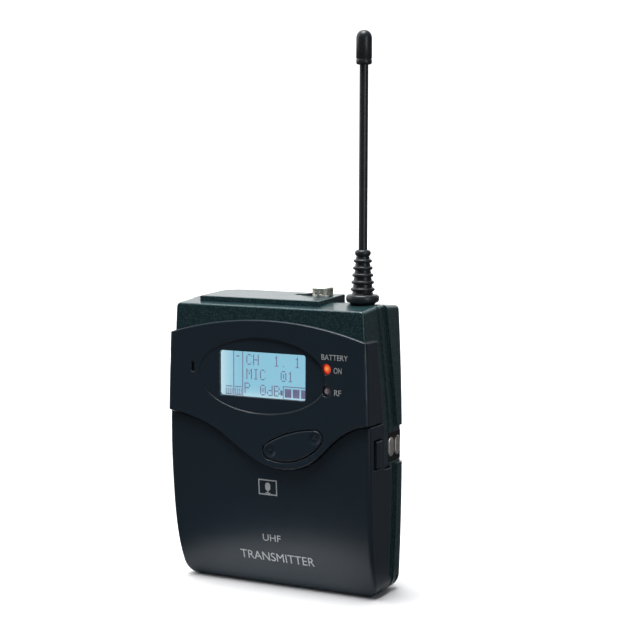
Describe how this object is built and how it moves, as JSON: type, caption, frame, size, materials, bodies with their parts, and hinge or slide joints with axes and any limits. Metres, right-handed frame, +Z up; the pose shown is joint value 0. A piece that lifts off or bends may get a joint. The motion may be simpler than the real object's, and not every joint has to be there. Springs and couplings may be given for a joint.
{
  "type": "wireless bodypack transmitter",
  "caption": "Flat belt-worn radio transmitter with a curved battery door, small display, rocker key, audio socket, whip antenna with ribbed boot, and wire belt clip.",
  "frame": {"origin": "middle of the flat base, on the body's middle plane, midway between the front panel and the back wall", "axes": "+X to the right as seen from the front, +Y to the back, +Z up along the antenna"},
  "size_m": [0.0648, 0.0282, 0.1572],
  "materials": {
    "housing_paint": "fine speckled dark green-black lacquer, satin",
    "charcoal_plastic": "satin charcoal blue-grey, fine moulded texture",
    "inner_plastic": "plain moulded black",
    "antenna_rubber": "satin black rubber",
    "key_mat_rubber": "grey silicone rubber",
    "foam": "soft black foam",
    "window_clear": "clear polished window",
    "lcd": "pale blue backlit liquid crystal cell",
    "led_red": "red diffusing lens, lit",
    "led_clear": "milky lens, unlit",
    "infrared_dark": "dark window",
    "nickel": "satin nickel plate",
    "bare_steel": "bright spring and sheet steel",
    "black_steel": "black coated spring wire and screws",
    "board_green": "green solder mask",
    "part_black": "black epoxy parts",
    "cell_jacket": "printed jacket, plain bands",
    "label_silver": "blank silver-grey label"
  },
  "bodies": {
    "housing": {"front_housing": "housing_paint", "back_housing": "housing_paint", "connector_plate": "housing_paint", "front_panel": "charcoal_plastic", "inner_chassis": "inner_plastic", "lcd_frame": "inner_plastic", "audio_socket_body": "inner_plastic", "mute_switch": "inner_plastic", "contact_inserts": "inner_plastic", "door_hinge_pins": "bare_steel", "keypad_mat": "key_mat_rubber", "display_window": "window_clear", "lcd_glass": "lcd", "status_led": "led_red", "rf_led": "led_clear", "infrared_window": "infrared_dark", "main_board": "board_green", "rf_shield": "bare_steel", "board_parts": "part_black", "upper_cell": "cell_jacket", "lower_cell": "cell_jacket", "contact_plates": "bare_steel", "contact_springs": "bare_steel", "charge_contacts": "nickel", "audio_socket_ring": "nickel", "antenna_socket": "nickel", "antenna_rod": "antenna_rubber", "antenna_boot": "antenna_rubber", "antenna_tip": "antenna_rubber", "rear_label": "label_silver", "housing_screws": "black_steel"},
    "door": {"battery_door": "charcoal_plastic", "door_pad": "foam"},
    "right_catch": {"right_catch": "charcoal_plastic"},
    "left_catch": {"left_catch": "charcoal_plastic"},
    "rocker": {"rocker_key": "charcoal_plastic"},
    "set_key": {"set_key": "charcoal_plastic"},
    "power_key": {"power_key": "charcoal_plastic"},
    "mute_slider": {"mute_slider": "inner_plastic"},
    "clip": {"belt_clip": "black_steel"}
  },
  "joints": [
    {"name": "door_hinge", "type": "hinge", "parent": "housing", "child": "door", "pos_m": [0, 0.0024, 0.0027], "axis": [1, 0, 0], "range_deg": [0, 90]},
    {"name": "right_catch_press", "type": "slide", "parent": "door", "child": "right_catch", "axis": [-1, 0, 0], "range_m": [0, 0.0009], "stiffness_N_per_m": 800, "springref_m": -0.0004},
    {"name": "left_catch_press", "type": "slide", "parent": "door", "child": "left_catch", "axis": [1, 0, 0], "range_m": [0, 0.0009], "stiffness_N_per_m": 800, "springref_m": -0.0004},
    {"name": "rocker_tilt", "type": "hinge", "parent": "housing", "child": "rocker", "pos_m": [0.0088, -0.011, 0.043], "axis": [-0.309, 0, 0.9511], "range_deg": [-4, 4], "stiffness_Nm_per_rad": 0.08},
    {"name": "set_press", "type": "slide", "parent": "housing", "child": "set_key", "axis": [0, 1, 0], "range_m": [0, 0.0004], "stiffness_N_per_m": 600, "springref_m": -0.0002},
    {"name": "power_press", "type": "slide", "parent": "housing", "child": "power_key", "axis": [0, 1, 0], "range_m": [0, 0.0004], "stiffness_N_per_m": 600, "springref_m": -0.0002},
    {"name": "mute_slide", "type": "slide", "parent": "housing", "child": "mute_slider", "axis": [-1, 0, 0], "range_m": [0, 0.002]},
    {"name": "clip_swing", "type": "hinge", "parent": "housing", "child": "clip", "pos_m": [0, 0.0089, 0.0032], "axis": [-1, 0, 0], "range_deg": [0, 8], "stiffness_Nm_per_rad": 2, "springref_deg": -3.44}
  ]
}
